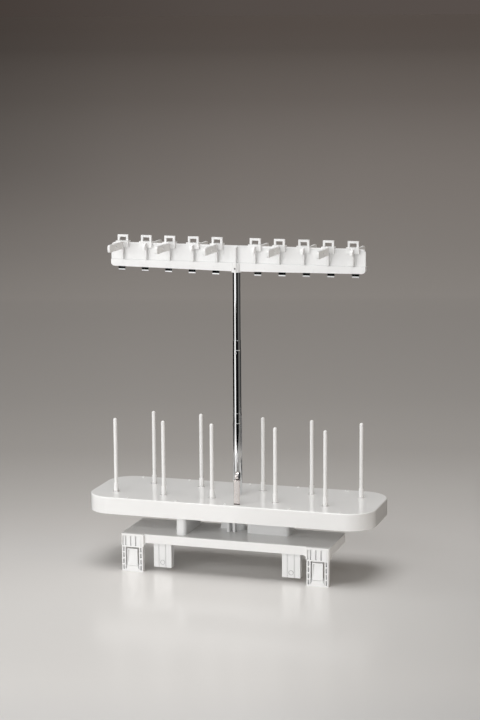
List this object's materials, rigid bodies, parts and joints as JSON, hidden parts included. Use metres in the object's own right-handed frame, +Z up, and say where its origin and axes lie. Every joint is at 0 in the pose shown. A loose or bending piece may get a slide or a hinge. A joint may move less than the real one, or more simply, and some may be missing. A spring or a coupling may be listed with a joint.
{
  "type": "spool thread stand",
  "caption": "Thread stand with a round-cornered tray of spool pins on a latch-on bracket and a telescopic mast that carries a bar of thread guides.",
  "frame": {"origin": "on the resting surface, under the mast axis at the middle of the tray", "axes": "+Z up along the mast, +X to the right along the tray, front at -Y"},
  "size_m": [0.383, 0.125, 0.4314],
  "materials": {
    "white_plastic": "smooth moulded, light gloss",
    "pin_plastic": "smooth, slightly milky",
    "bright_metal": "bright plated",
    "fastener_steel": "plain zinc",
    "plug_plastic": "natural, matte"
  },
  "bodies": {
    "base": {"bracket": "white_plastic", "left_riser": "white_plastic", "right_riser": "white_plastic", "mast_socket": "white_plastic", "left_front_leg": "white_plastic", "right_front_leg": "white_plastic", "left_guide_post": "white_plastic", "right_guide_post": "white_plastic", "left_rear_foot": "white_plastic", "right_rear_foot": "white_plastic", "tray": "white_plastic", "tray_screws": "fastener_steel", "leg_screws": "fastener_steel", "lower_tube": "bright_metal", "mast_insert": "fastener_steel", "mast_washer": "fastener_steel", "mast_screw": "fastener_steel", "front_thread_guide": "bright_metal", "front_guide_screw": "fastener_steel", "spool_pin_1": "pin_plastic", "spool_pin_2": "pin_plastic", "spool_pin_3": "pin_plastic", "spool_pin_4": "pin_plastic", "spool_pin_5": "pin_plastic", "spool_pin_6": "pin_plastic", "spool_pin_7": "pin_plastic", "spool_pin_8": "pin_plastic", "spool_pin_9": "pin_plastic", "spool_pin_10": "pin_plastic"},
    "mast_middle": {"middle_tube": "bright_metal", "middle_stop_plug": "plug_plastic"},
    "mast_upper_stop": {"upper_stop_plug": "plug_plastic"},
    "guide_bar_head": {"upper_tube": "bright_metal", "guide_bar": "white_plastic", "guide_bar_screw": "fastener_steel", "thread_guide_1": "white_plastic", "thread_guide_2": "white_plastic", "thread_guide_3": "white_plastic", "thread_guide_4": "white_plastic", "thread_guide_5": "white_plastic", "thread_guide_6": "white_plastic", "thread_guide_7": "white_plastic", "thread_guide_8": "white_plastic", "thread_guide_9": "white_plastic", "thread_guide_10": "white_plastic", "thread_clip_1": "bright_metal", "thread_clip_2": "bright_metal", "thread_clip_3": "bright_metal", "thread_clip_4": "bright_metal", "thread_clip_5": "bright_metal", "thread_clip_6": "bright_metal", "thread_clip_7": "bright_metal", "thread_clip_8": "bright_metal", "thread_clip_9": "bright_metal", "thread_clip_10": "bright_metal"},
    "left_latch": {"left_latch": "white_plastic"},
    "right_latch": {"right_latch": "white_plastic"}
  },
  "joints": [
    {"name": "mast_middle_slide", "type": "slide", "parent": "base", "child": "mast_middle", "axis": [0, 0, 1], "range_m": [-0.092, 0]},
    {"name": "mast_upper_slide", "type": "slide", "parent": "mast_middle", "child": "mast_upper_stop", "axis": [0, 0, 1], "range_m": [-0.082, 0]},
    {"name": "guide_bar_turn", "type": "hinge", "parent": "mast_upper_stop", "child": "guide_bar_head", "pos_m": [0, 0, 0.3874], "axis": [0, 0, 1], "range_deg": [-90, 90]},
    {"name": "left_latch_press", "type": "hinge", "parent": "base", "child": "left_latch", "pos_m": [-0.12415, -0.0585, 0.0093], "axis": [-1, 0, 0], "range_deg": [0, 7], "stiffness_Nm_per_rad": 0.5},
    {"name": "right_latch_press", "type": "hinge", "parent": "base", "child": "right_latch", "pos_m": [0.12415, -0.0585, 0.0093], "axis": [-1, 0, 0], "range_deg": [0, 7], "stiffness_Nm_per_rad": 0.5}
  ]
}
